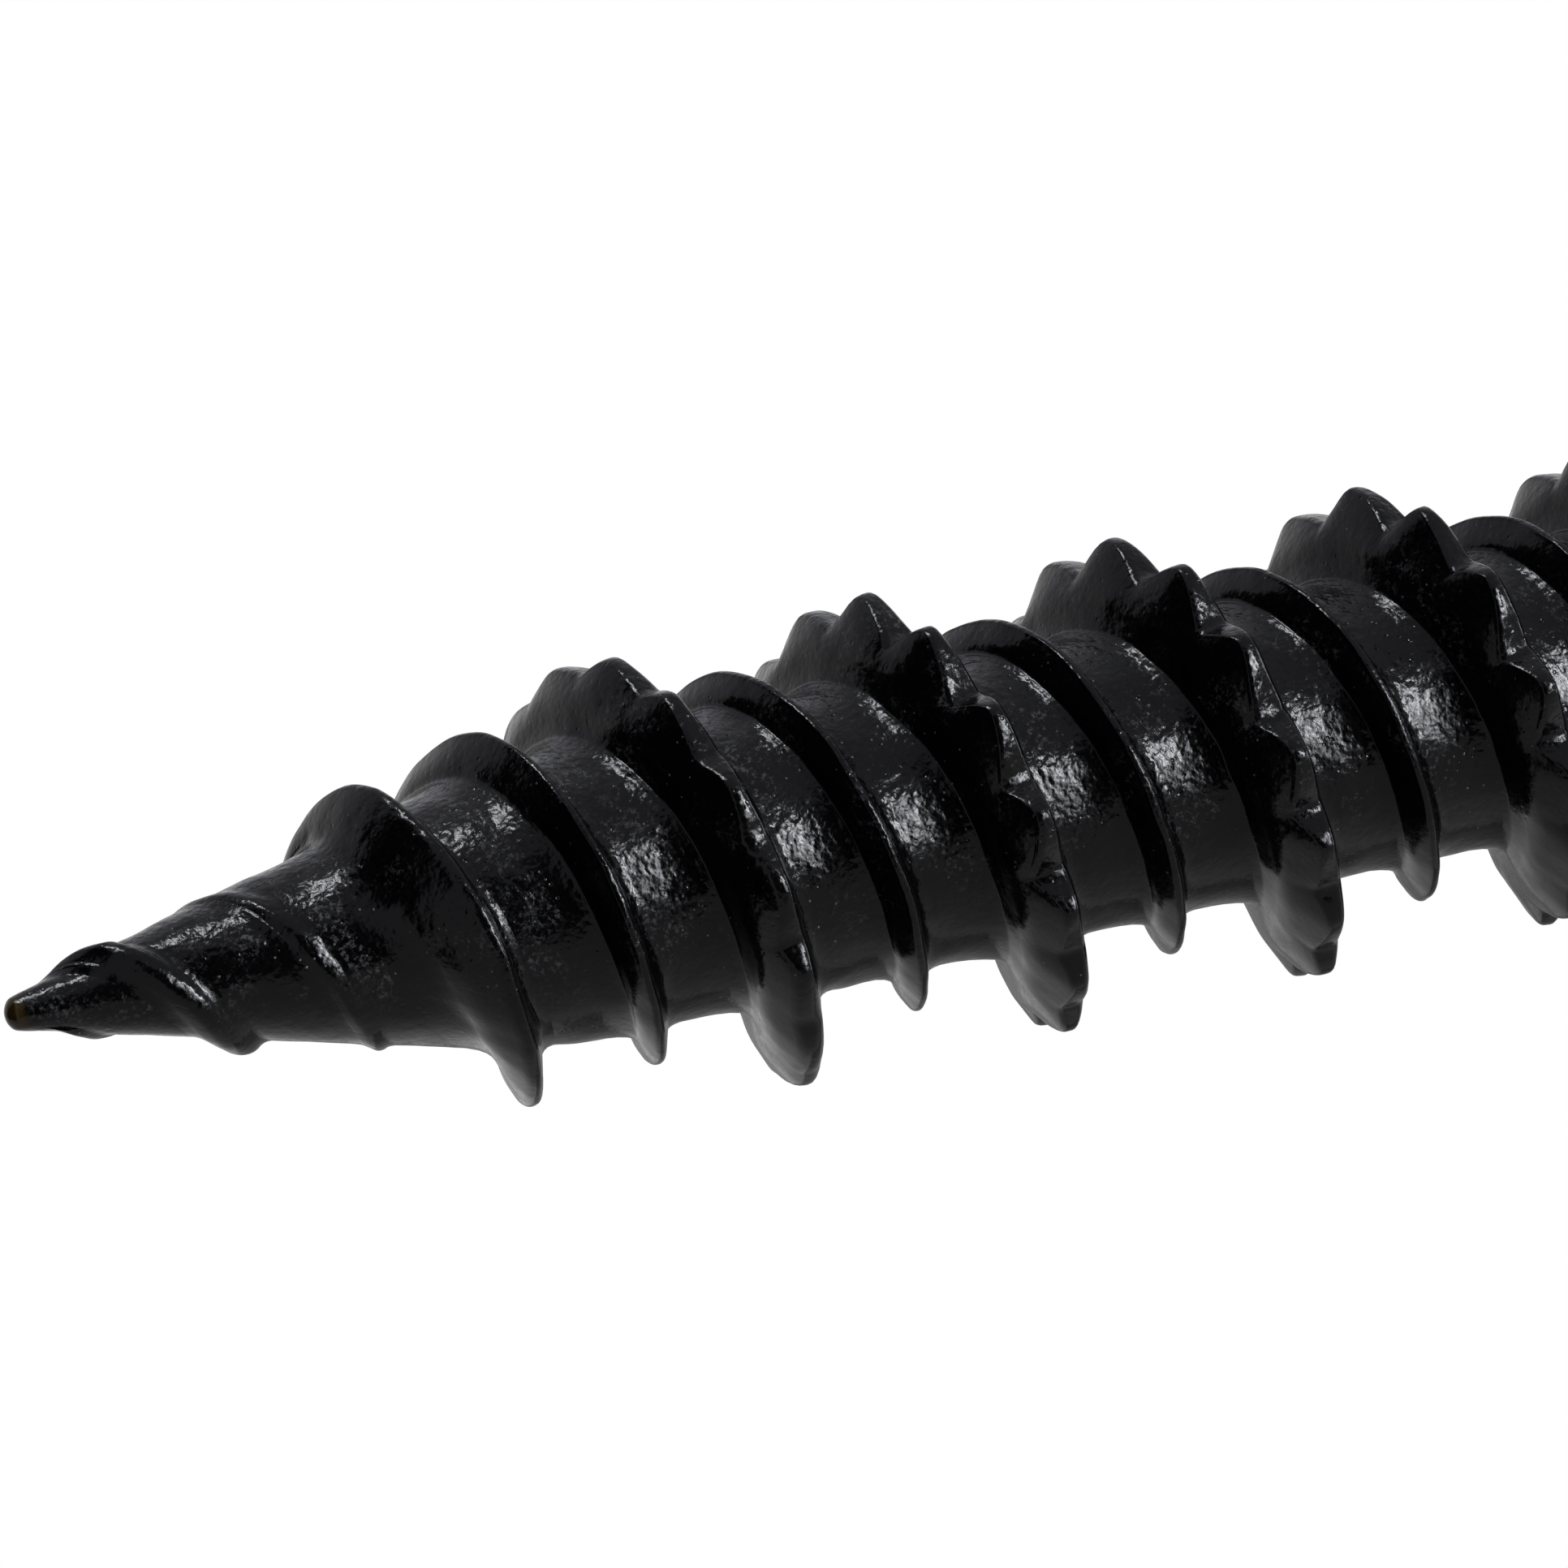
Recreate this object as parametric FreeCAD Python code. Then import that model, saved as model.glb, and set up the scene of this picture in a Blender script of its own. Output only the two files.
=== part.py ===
"""Countersunk wood screw with a serrated high thread and a smooth low thread.

Millimetres. +X runs along the screw from its point to its head, and +Z is up. The origin is the
centre of the head's flat top, so the tip is at x = -LENGTH. The real screw is one piece of steel:
each of its regions is a closed solid here, and the solids meet face to face.
"""
import FreeCAD, Part
import math
import os

# Overall
LENGTH = 60.0
CORE_DIAMETER = 3.8
MAJOR_DIAMETER = 6.35
LOW_DIAMETER = 4.84
LEAD = 3.71

# Head, with a six-lobe socket
HEAD_DIAMETER = 11.8
HEAD_ANGLE = 90.0
RIM_HEIGHT = 0.55
RIM_CHAMFER = 0.12
SOCKET_LOBES = 6
SOCKET_ACROSS_POINTS = 5.6
SOCKET_ACROSS_FLATS = 3.95
SOCKET_LOBE_RADIUS = 0.457
SOCKET_DEPTH = 2.5
SOCKET_CONE_DEPTH = 0.6

# Shank
SHANK_DIAMETER = 4.6
SHANK_LENGTH = 11.0
SHOULDER_LENGTH = 0.7

# Point: a rounded tip, a cone, and a long arc into the core
TIP_RADIUS = 0.2
POINT_HALF_ANGLE = 14.0
POINT_ARC_RADIUS = 11.0

# Threads. Widths are along the axis at full height, phases are degrees from +Z at the tip, and
# a rise lists (distance from the tip, share of the full height) where the crest's slope changes.
THREAD_START = 0.8
HIGH_PHASE = -137.4
HIGH_CREST_WIDTH = 0.18
HIGH_LEADING_WIDTH = 0.66
HIGH_TRAILING_WIDTH = 0.31
HIGH_RISE = (
    (0.8, 0.04), (1.4, 0.18), (2.4, 0.16), (3.3, 0.18), (4.3, 0.16), (5.1, 0.5),
    (6.9, 0.62), (8.2, 0.83), (8.8, 0.86), (11.2, 0.95), (17.0, 1.0),
)
LOW_PHASE = 46.8
LOW_CREST_WIDTH = 0.12
LOW_LEADING_WIDTH = 0.27
LOW_TRAILING_WIDTH = 0.14
LOW_RISE = ((0.8, 0.08), (1.4, 0.2), (3.2, 0.14), (5.1, 0.22), (6.2, 0.9), (6.9, 1.0))
LOW_STATION_STEP = 30.0
RUN_OUT_LENGTH = 1.9
RUN_OUT_MARGIN = 0.35
END_HEIGHT = 0.02

# Saw teeth of the high thread: V notches cut down from its crest, shallower near the point. A
# notch's bottom is this share of the way from one tooth's tip to the next.
TEETH_PER_TURN = 13.13
TOOTH_PHASE = -6.7
NOTCH_PLACE = 0.62
NOTCH_DEPTH = 0.45
NOTCH_RISE = ((7.4, 0.0), (8.1, 0.6), (11.2, 0.95), (13.0, 1.0))

core_radius = CORE_DIAMETER / 2
shank_radius = SHANK_DIAMETER / 2
head_radius = HEAD_DIAMETER / 2
cone_height = (head_radius - shank_radius) / math.tan(math.radians(HEAD_ANGLE / 2))

# Stations along X, from the tip up
tip_x = -LENGTH
shank_top_x = -RIM_HEIGHT - cone_height
shoulder_x = shank_top_x - SHANK_LENGTH
thread_top_x = shoulder_x - SHOULDER_LENGTH
thread_end = thread_top_x - tip_x - RUN_OUT_MARGIN

# The point's profile, as distances from the tip
point_slope = math.radians(POINT_HALF_ANGLE)
cone_start = TIP_RADIUS * (1 - math.sin(point_slope))
cone_start_radius = TIP_RADIUS * math.cos(point_slope)
cone_end_radius = core_radius - POINT_ARC_RADIUS * (1 - math.cos(point_slope))
cone_end = cone_start + (cone_end_radius - cone_start_radius) / math.tan(point_slope)
point_length = cone_end + POINT_ARC_RADIUS * math.sin(point_slope)


def at(x, radius, angle=0.0):
    """The place at a station along the screw, a radius, and an angle in degrees from +Z."""
    turn = math.radians(angle)
    return FreeCAD.Vector(x, -radius * math.sin(turn), radius * math.cos(turn))


def line(start, end):
    return Part.LineSegment(start, end).toShape()


def arc(start, middle, end):
    return Part.Arc(start, middle, end).toShape()


def revolve(edges):
    """The solid that a closed outline in the XZ plane sweeps around the X axis."""
    face = Part.Face(Part.Wire(edges))
    return face.revolve(FreeCAD.Vector(0, 0, 0), FreeCAD.Vector(1, 0, 0), 360)


def polygon_edges(corners):
    return [line(start, end) for start, end in zip(corners, corners[1:] + corners[:1])]


def root_radius(distance):
    """Radius of the point and core at a distance from the tip."""
    if distance < cone_start:
        return math.sqrt(distance * (2 * TIP_RADIUS - distance))
    if distance < cone_end:
        return cone_start_radius + (distance - cone_start) * math.tan(point_slope)
    if distance < point_length:
        run = point_length - distance
        return core_radius - POINT_ARC_RADIUS + math.sqrt(POINT_ARC_RADIUS**2 - run**2)
    return core_radius


def make_point():
    """The solid of revolution from the rounded tip up to the full core."""
    def on(distance):
        return at(tip_x + distance, root_radius(distance))
    base = at(tip_x + point_length, 0)
    tip_middle = TIP_RADIUS * (1 - math.cos(math.radians(45) - point_slope / 2))
    return revolve([
        arc(on(0), on(tip_middle), on(cone_start)),
        line(on(cone_start), on(cone_end)),
        arc(on(cone_end), on((cone_end + point_length) / 2), on(point_length)),
        line(on(point_length), base),
        line(base, on(0)),
    ])


def make_core():
    start = tip_x + point_length
    axis = FreeCAD.Vector(1, 0, 0)
    return Part.makeCylinder(core_radius, thread_top_x - start, at(start, 0), axis)


def make_shank():
    """The smooth shank, with the shoulder that tapers down to the core."""
    return revolve(polygon_edges([
        at(thread_top_x, 0),
        at(thread_top_x, core_radius),
        at(shoulder_x, shank_radius),
        at(shank_top_x, shank_radius),
        at(shank_top_x, 0),
    ]))


def socket_outline():
    """Six convex lobes joined by six concave arcs tangent to them, in the head's top plane."""
    points_radius = SOCKET_ACROSS_POINTS / 2
    flats_radius = SOCKET_ACROSS_FLATS / 2
    half_step = 180 / SOCKET_LOBES
    lobe_centre = points_radius - SOCKET_LOBE_RADIUS
    along = lobe_centre * math.cos(math.radians(half_step))
    gap = lobe_centre**2 + flats_radius**2 - 2 * flats_radius * along - SOCKET_LOBE_RADIUS**2
    waist_radius = gap / (2 * (along + SOCKET_LOBE_RADIUS - flats_radius))
    waist_centre = flats_radius + waist_radius
    reach = SOCKET_LOBE_RADIUS / (SOCKET_LOBE_RADIUS + waist_radius)

    def joint(lobe_angle, waist_angle):
        lobe = at(0, lobe_centre, lobe_angle)
        return lobe + (at(0, waist_centre, waist_angle) - lobe) * reach

    edges = []
    for number in range(SOCKET_LOBES):
        lobe = 2 * half_step * number
        waist = lobe + half_step
        next_lobe = waist + half_step
        edges.append(arc(joint(lobe, lobe - half_step), at(0, points_radius, lobe), joint(lobe, waist)))
        edges.append(arc(joint(lobe, waist), at(0, flats_radius, waist), joint(next_lobe, waist)))
    return edges


def make_head():
    """The countersunk head, with its rim land, chamfered edge and six-lobe socket."""
    blank = revolve(polygon_edges([
        at(0, 0),
        at(0, head_radius - RIM_CHAMFER),
        at(-RIM_CHAMFER, head_radius),
        at(-RIM_HEIGHT, head_radius),
        at(shank_top_x, shank_radius),
        at(shank_top_x, 0),
    ]))
    outline = Part.Face(Part.Wire(socket_outline()))
    punch = outline.extrude(at(-SOCKET_DEPTH, 0))
    inwards = FreeCAD.Vector(-1, 0, 0)
    pit_start = at(-SOCKET_DEPTH, 0)
    pit = Part.makeCone(SOCKET_ACROSS_FLATS / 2, 0, SOCKET_CONE_DEPTH, pit_start, inwards)
    return blank.cut(punch).cut(pit).Solids[0]


def interpolate(knots, where):
    """The value at a place on a broken line through (place, value) knots, level past its ends."""
    if where <= knots[0][0]:
        return knots[0][1]
    for (start, low), (end, high) in zip(knots, knots[1:]):
        if where <= end:
            return low + (high - low) * (where - start) / (end - start)
    return knots[-1][1]


def smooth_edge(places):
    curve = Part.BSplineCurve()
    curve.interpolate(places)
    return curve.toShape()


class Thread:
    """A right-hand helical ridge whose axial section is a triangle with a flat crest."""

    def __init__(self, phase, height, rise, crest_width, leading_width, trailing_width):
        self.phase = phase
        self.full_height = height
        self.rise = rise
        self.crest_width = crest_width
        self.leading_slope = leading_width / height
        self.trailing_slope = trailing_width / height

    def angle(self, distance):
        """Unwound angle in degrees at which the crest's middle is at a distance from the tip."""
        return self.phase + 360 * distance / LEAD

    def distance(self, angle):
        return LEAD * (angle - self.phase) / 360

    def section(self, angle, notch):
        """The ridge's four corners at an angle, from its leading foot to its trailing foot."""
        middle = self.distance(angle)
        fade = min(1.0, max(0.0, (thread_end - middle) / RUN_OUT_LENGTH))
        height = max(END_HEIGHT, self.full_height * interpolate(self.rise, middle) * fade)
        half = self.crest_width / 2 * min(1.0, 2 * height / self.full_height)
        cut = notch * height / self.full_height
        lead_foot = middle - half - height * self.leading_slope
        trail_foot = middle + half + height * self.trailing_slope
        crest_radius = root_radius(middle) + height - cut
        return [
            at(tip_x + lead_foot, root_radius(lead_foot), angle),
            at(tip_x + middle - half - cut * self.leading_slope, crest_radius, angle),
            at(tip_x + middle + half + cut * self.trailing_slope, crest_radius, angle),
            at(tip_x + trail_foot, root_radius(trail_foot), angle),
        ]

    def solid(self, stations, notch=lambda angle: 0.0):
        """The ridge through a list of angles, as faces ruled from one smooth edge to the next."""
        samples = 4
        faces = []
        for start, end in zip(stations, stations[1:]):
            angles = [start + (end - start) * i / (samples - 1) for i in range(samples)]
            tracks = zip(*[self.section(angle, notch(angle)) for angle in angles])
            edges = [smooth_edge(list(track)) for track in tracks]
            for one, other in zip(edges, edges[1:] + edges[:1]):
                faces.append(Part.makeRuledSurface(one, other))
        for angle in (stations[0], stations[-1]):
            corners = self.section(angle, notch(angle))
            faces.append(Part.Face(Part.Wire(polygon_edges(corners))))
        shell = Part.Shell(faces)
        shell.sewShape()
        solid = Part.Solid(shell)
        if solid.Volume < 0:
            solid.reverse()
        return solid


high = Thread(HIGH_PHASE, MAJOR_DIAMETER / 2 - core_radius, HIGH_RISE,
              HIGH_CREST_WIDTH, HIGH_LEADING_WIDTH, HIGH_TRAILING_WIDTH)
low = Thread(LOW_PHASE, LOW_DIAMETER / 2 - core_radius, LOW_RISE,
             LOW_CREST_WIDTH, LOW_LEADING_WIDTH, LOW_TRAILING_WIDTH)


def notch_depth(angle):
    """How far the high crest is cut down: nothing on a tooth's tip, most between two teeth."""
    share = (angle - TOOTH_PHASE) * TEETH_PER_TURN / 360 % 1
    depth = interpolate(((0.0, 0.0), (NOTCH_PLACE, NOTCH_DEPTH), (1.0, 0.0)), share)
    return depth * interpolate(NOTCH_RISE, high.distance(angle))


def stations_between(thread, step, phases):
    """Angles from a thread's start to its end, with every whole step from each phase between."""
    start, end = thread.angle(THREAD_START), thread.angle(thread_end)
    between = []
    for phase in phases:
        first = math.floor((start - phase) / step) + 1
        last = math.ceil((end - phase) / step)
        between += [phase + step * number for number in range(first, last)]
    return [start] + sorted(between) + [end]


def make_high_thread():
    tooth = 360 / TEETH_PER_TURN
    phases = (TOOTH_PHASE, TOOTH_PHASE + NOTCH_PLACE * tooth)
    return high.solid(stations_between(high, tooth, phases), notch_depth)


def make_low_thread():
    return low.solid(stations_between(low, LOW_STATION_STEP, [LOW_PHASE]))


makers = {
    "head": make_head,
    "shank": make_shank,
    "thread_core": make_core,
    "point": make_point,
    "high_thread": make_high_thread,
    "low_thread": make_low_thread,
}
os.makedirs("parts", exist_ok=True)
for node, make in makers.items():
    shape = make()
    print(node, shape.ShapeType, shape.isValid(), round(shape.Volume, 3), len(shape.Faces))
    shape.exportStep("parts/" + node + ".step")
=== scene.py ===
"""Looks of a black-coated wood screw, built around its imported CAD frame.

The screw lies along X, with its point at the low end, and +Z is up. Shapes are worked out in
millimetres and turned into metres when their mesh is made. A place on the screw is a distance from
the tip, a radius, and an angle in degrees from +Z; a thread's angle runs on from turn to turn.
"""
import math

import bpy
import numpy as np
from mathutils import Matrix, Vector


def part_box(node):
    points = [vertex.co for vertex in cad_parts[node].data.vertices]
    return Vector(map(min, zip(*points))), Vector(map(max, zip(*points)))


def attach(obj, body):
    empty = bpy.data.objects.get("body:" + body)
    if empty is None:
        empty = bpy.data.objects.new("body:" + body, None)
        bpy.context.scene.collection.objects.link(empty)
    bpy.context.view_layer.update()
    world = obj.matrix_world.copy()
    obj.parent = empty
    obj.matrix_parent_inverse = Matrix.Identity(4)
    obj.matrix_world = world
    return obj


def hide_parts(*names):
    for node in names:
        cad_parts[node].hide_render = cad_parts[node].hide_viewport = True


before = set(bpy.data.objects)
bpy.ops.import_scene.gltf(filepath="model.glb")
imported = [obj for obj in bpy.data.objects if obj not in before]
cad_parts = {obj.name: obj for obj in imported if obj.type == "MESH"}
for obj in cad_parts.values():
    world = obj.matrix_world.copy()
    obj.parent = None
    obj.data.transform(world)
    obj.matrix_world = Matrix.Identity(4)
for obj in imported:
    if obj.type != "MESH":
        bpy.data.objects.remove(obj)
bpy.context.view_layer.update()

MM = 0.001
SHOULDER_LENGTH = 0.7

# ---------------------------------------------------------------- sizes of the CAD nodes


def node_span(node):
    """Where a node starts and ends along X."""
    low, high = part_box(node)
    return low.x / MM, high.x / MM


def node_radius(node):
    """How far a node reaches from the screw's axis."""
    return max(math.hypot(v.co.y, v.co.z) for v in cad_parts[node].data.vertices) / MM


tip_x, point_top_x = node_span("point")
thread_top_x = node_span("thread_core")[1]
shoulder_x = thread_top_x + SHOULDER_LENGTH
shank_top_x = node_span("shank")[1]
core_radius = node_radius("thread_core")
shank_radius = node_radius("shank")
head_radius = node_radius("head")
high_radius = node_radius("high_thread")
low_radius = node_radius("low_thread")

# Point: a rounded tip, a cone, and a long arc into the core
TIP_RADIUS = 0.2
POINT_HALF_ANGLE = math.radians(14.0)
POINT_ARC_RADIUS = 11.0
point_length = point_top_x - tip_x
cone_start = TIP_RADIUS * (1 - math.sin(POINT_HALF_ANGLE))
cone_start_radius = TIP_RADIUS * math.cos(POINT_HALF_ANGLE)
cone_end = point_length - POINT_ARC_RADIUS * math.sin(POINT_HALF_ANGLE)

# Threads: they run out over a length and end a margin short of the shank, and their height never
# falls to nothing. A rise lists (distance from the tip, share of the full height).
LEAD = 3.71
THREAD_START = 0.8
RUN_OUT_LENGTH = 1.9
RUN_OUT_MARGIN = 0.35
END_HEIGHT = 0.02
thread_end = thread_top_x - tip_x - RUN_OUT_MARGIN
HIGH_RISE = (
    (0.8, 0.04), (1.4, 0.17), (2.0, 0.12), (2.6, 0.14), (3.1, 0.18), (4.3, 0.18), (4.8, 0.41),
    (5.1, 0.50), (6.9, 0.62), (8.2, 0.83), (8.8, 0.86), (11.2, 0.95), (17.0, 1.0),
)
LOW_RISE = (
    (0.8, 0.08), (1.4, 0.20), (2.9, 0.10), (4.8, 0.16), (5.3, 0.30), (6.2, 0.93), (6.7, 1.04),
    (7.4, 1.0), (8.5, 0.90), (10.3, 1.0),
)

# Saw teeth of the high thread, spaced in degrees. The notch after a tooth is deepest at NOTCH_PLACE
# of the way to the next tooth, and a TOOTH_ROUND of 0 would leave tips and notches sharp. There are
# TIP_SAMPLES sections from a tip to its notch, and VALLEY_SAMPLES on to the next tip.
TOOTH_STEP = 360 / 13.13
TOOTH_PHASE = -6.7
TOOTH_ROUND = 0.25
TIP_SAMPLES = 11
VALLEY_SAMPLES = 7
NOTCH_DEPTH = 0.45
NOTCH_PLACE = 0.62
NOTCH_SKEW = math.tan(math.radians(16.0))

# Shares of the notches' depth: (distance from the tip, share). They fade in, and those of the first
# toothed turn are half lost towards its end.
NOTCH_RISE = ((7.4, 0.0), (8.1, 0.6), (11.2, 0.95), (13.0, 1.0))
NOTCH_WEAR = ((8.7, 1.0), (9.3, 0.75), (9.9, 0.65), (10.4, 0.3), (11.2, 1.0))

# How the teeth differ round the screw: (middle angle, width, how much). Some stand early by that
# many degrees, some are cut lower by that many millimetres, and some notches lose that share.
EARLY_TEETH = (150.0, 50.0, 9.0)
LOW_TEETH = (313.0, 10.0, 0.065)
SHALLOW_NOTCHES = (128.0, 32.0, 0.65)

# Chance differences of the teeth: of a tooth's place in tooth steps and a notch's as a share of the
# way, of a notch's depth as a share, and of how far a tip is blunted in millimetres
TOOTH_SEED = 4
TOOTH_SPREAD = 0.022
NOTCH_SPREAD = 0.03
DEPTH_SPREAD = 0.12
BLUNT_SPREAD = 0.018

# Softness of the threads' sections: (distance from the tip, millimetres).
#   broad                extra half width of the crest
#   lean                 how far the crest leans towards the point
#   flare, back_flare    extra width of the leading and the trailing foot
#   lead, trail          how far the rounding of those feet goes along the core
#   lead_up, trail_up    how far it goes up the flank
#   crest                how far the crest's edges are rounded
HIGH_SOFTNESS = {
    "broad": ((1.0, 0.09), (3.6, 0.08), (4.8, 0.0), (7.5, 0.0), (10.4, 0.06), (11.5, 0.02)),
    "lean": ((7.0, 0.0), (8.5, 0.03), (10.4, 0.06), (12.0, 0.03), (17.0, 0.02)),
    "flare": (
        (1.0, 0.22), (3.3, 0.26), (4.2, 0.05), (4.7, -0.08), (5.1, 0.1), (5.6, 0.5), (6.1, 0.35),
        (6.7, -0.14), (8.5, -0.08), (10.4, -0.16), (12.0, -0.10), (17.0, -0.11),
    ),
    "back_flare": ((1.0, 0.09), (3.3, 0.10), (4.2, 0.02), (4.7, 0.0)),
    "lead": ((1.0, 0.19), (4.2, 0.13), (4.9, 0.2), (5.7, 0.45), (6.7, 0.6), (9.0, 0.72)),
    "lead_up": ((1.0, 0.3), (4.2, 0.2), (4.9, 0.2), (5.7, 0.35), (6.7, 0.25), (9.0, 0.15)),
    "trail": ((1.0, 0.17), (5.0, 0.2), (9.0, 0.3)),
    "trail_up": ((1.0, 0.2), (9.0, 0.13)),
    "crest": (
        (1.0, 0.35), (4.5, 0.30), (5.5, 0.16), (7.0, 0.10), (9.0, 0.10), (10.4, 0.18), (12.0, 0.09),
    ),
}
LOW_SOFTNESS = {
    "broad": ((1.0, 0.08), (4.0, 0.07), (5.4, 0.0)),
    "lean": ((6.5, 0.0), (8.5, 0.06), (12.2, 0.05), (16.0, 0.045), (20.0, 0.02)),
    "flare": ((1.0, 0.20), (4.5, 0.15), (6.2, 0.10), (7.5, 0.0)),
    "back_flare": ((1.0, 0.08), (4.5, 0.06), (6.2, 0.04), (7.5, 0.0)),
    "lead": ((1.0, 0.19), (5.0, 0.25), (7.5, 0.62)),
    "lead_up": ((1.0, 0.2), (7.5, 0.12)),
    "trail": ((1.0, 0.14), (5.0, 0.17), (7.5, 0.28)),
    "trail_up": ((1.0, 0.2), (7.5, 0.10)),
    "crest": ((1.0, 0.35), (4.5, 0.30), (5.5, 0.16), (7.5, 0.06)),
}

# Shank: it starts with a short seam along the core, as the head does along the shank
SEAM = 0.02
SHOULDER_ROUND = 0.25

# Head: it is drawn a little small, so that its uneven coat stays within the CAD head. Its flat top
# ends at an inner radius, and from there it blends into the socket's mouth.
RIM_HEIGHT = 0.55
RIM_ROUNDS = (0.12, 0.14)
HEAD_SHRINK = 0.04
FLAT_INNER_RADIUS = 3.3

# Socket: its wall starts below the rounded mouth and leans in by its draft
SOCKET_MOUTH_ROUND = 0.12
SOCKET_FLOOR_ROUND = 0.15
SOCKET_WALL_START = 0.3
SOCKET_DRAFT = 0.02
SOCKET_LOBES = 6
SOCKET_POINTS_RADIUS = 2.8
SOCKET_FLATS_RADIUS = 1.975
SOCKET_LOBE_RADIUS = 0.457
SOCKET_DEPTH = 2.5
SOCKET_CONE_DEPTH = 0.6


# ---------------------------------------------------------------- shared shape helpers

# Thickness of the coat, which fades in over a short way from the tip, and its unevenness as
# (wavelength, size), in millimetres
COAT = 0.02
COAT_FADE = 0.1
COAT_WAVES = ((2.2, 0.010), (0.8, 0.0045), (0.36, 0.0014))

# Plane waves summed for one field of unevenness, and how their lengths vary, as shares
WAVE_COUNT = 24
WAVE_SHARES = (0.7, 1.4)

# Edges between faces that turn by more than this stay sharp
SHARP_ANGLE = math.radians(65)


def ripple(places, wavelength, seed):
    """A smooth random field of about unit size, as a sum of plane waves in random directions."""
    random = np.random.default_rng(seed)
    ways = random.normal(size=(WAVE_COUNT, 3))
    ways /= np.linalg.norm(ways, axis=1, keepdims=True)
    ways *= 2 * math.pi / (wavelength * random.uniform(*WAVE_SHARES, (WAVE_COUNT, 1)))
    shifts = random.uniform(0, 2 * math.pi, WAVE_COUNT)
    return np.sin(places @ ways.T + shifts).sum(axis=-1) * math.sqrt(2 / WAVE_COUNT)


def uneven(places):
    """Places moved a little in all directions, as a thick dipped coat leaves a surface."""
    moved = places.copy()
    for number, (wavelength, size) in enumerate(COAT_WAVES):
        for axis in range(3):
            moved[..., axis] += size * ripple(places, wavelength, 10 * number + axis)
    return moved


def place(distance, radius, angle):
    """Coordinates in millimetres of places given by distance from the tip, radius and angle."""
    turn = np.radians(angle)
    distance, radius, turn = np.broadcast_arrays(distance, radius, turn)
    return np.stack([tip_x + distance, -radius * np.sin(turn), radius * np.cos(turn)], axis=-1)


def root_radius(distance):
    """Radius of the point and core at distances from the tip."""
    distance = np.asarray(distance, float)
    tip = np.sqrt(np.clip(distance * (2 * TIP_RADIUS - distance), 0, None))
    cone = cone_start_radius + (distance - cone_start) * math.tan(POINT_HALF_ANGLE)
    run = np.clip(point_length - distance, 0, POINT_ARC_RADIUS)
    arc = core_radius - POINT_ARC_RADIUS + np.sqrt(POINT_ARC_RADIUS**2 - run**2)
    return np.where(distance < cone_start, tip, np.where(distance < cone_end, cone, arc))


def coated_radius(distance):
    """Radius of the point and core under their coat, fading out at the very tip."""
    return root_radius(distance) + COAT * np.clip(np.asarray(distance) / COAT_FADE, 0, 1)


def table(pairs, values):
    """Values looked up in a table of pairs, with straight lines between them."""
    pairs = np.array(pairs)
    return np.interp(values, pairs[:, 0], pairs[:, 1])


def ring_piece(name, rings, material, body="root", replaces=()):
    """A closed, smooth piece from rings of places in millimetres, with both ends closed by fans."""
    count, around = rings.shape[:2]
    middles = np.stack([rings[0].mean(axis=0), rings[-1].mean(axis=0)])
    places = np.concatenate([rings.reshape(-1, 3), middles])
    near = np.arange(around)
    far = (near + 1) % around
    first, last = count * around, count * around + 1
    faces = []
    for row in range(count - 1):
        start, end = row * around, (row + 1) * around
        faces += zip(start + near, start + far, end + far, end + near)
    end = (count - 1) * around
    faces += zip(far, near, [first] * around)
    faces += zip(end + near, end + far, [last] * around)
    mesh = bpy.data.meshes.new(name)
    mesh.from_pydata((places * MM).tolist(), [], [tuple(map(int, face)) for face in faces])
    mesh.materials.append(material)
    if signed_volume(mesh) < 0:
        mesh.flip_normals()
    mesh.shade_smooth()
    mesh.set_sharp_from_angle(angle=SHARP_ANGLE)
    piece = bpy.data.objects.new(name, mesh)
    bpy.context.scene.collection.objects.link(piece)
    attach(piece, body)
    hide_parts(*replaces)
    return piece


def signed_volume(mesh):
    """Six times the volume inside a mesh, and below zero if its faces look inwards."""
    mesh.calc_loop_triangles()
    corners = np.zeros(len(mesh.vertices) * 3)
    mesh.vertices.foreach_get("co", corners)
    triangles = np.zeros(len(mesh.loop_triangles) * 3, int)
    mesh.loop_triangles.foreach_get("vertices", triangles)
    a, b, c = corners.reshape(-1, 3)[triangles.reshape(-1, 3)].transpose(1, 0, 2)
    return float(np.einsum("ij,ij->i", a, np.cross(b, c)).sum())


def rounded(corners, reaches, shares, steps):
    """Broken lines (lines, corners, 2) with each inner corner rounded.

    Each reach is a pair: how far the rounding goes along the side before and the side after. Each
    is held to a share of that side, and the shares come in pairs too.
    """
    along = np.linspace(0, 1, steps)[None, :, None]
    runs = [corners[:, :1]]
    for number, (pair, limits) in enumerate(zip(reaches, shares), start=1):
        before, corner, after = (corners[:, number + step] for step in (-1, 0, 1))
        sides = []
        for other, reach, share in zip((before, after), pair, limits):
            side = other - corner
            length = np.linalg.norm(side, axis=1, keepdims=True)
            sides.append(corner + side / length * np.minimum(reach, length * share))
        start, end = (side[:, None] for side in sides)
        bend = corner[:, None]
        runs.append((1 - along)**2 * start + 2 * along * (1 - along) * bend + along**2 * end)
    runs.append(corners[:, -1:])
    return np.concatenate(runs, axis=1)


# ---------------------------------------------------------------- threads

# How far a ridge's foot ends below the core, the rounding of its leading flank's middle, how many
# places go round a corner, what share of each side of a corner its rounding may take, and the
# radius of the hidden underside as a share of the core's
FOOT_SINK = 0.004
BELLY_REACH = 0.2
CORNER_STEPS = 6
SIDE_SHARES = ((0.97, 0.6), (0.4, 0.4), (0.45, 0.45), (0.45, 0.45), (0.68, 0.97))
UNDERSIDE = 0.93


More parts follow.
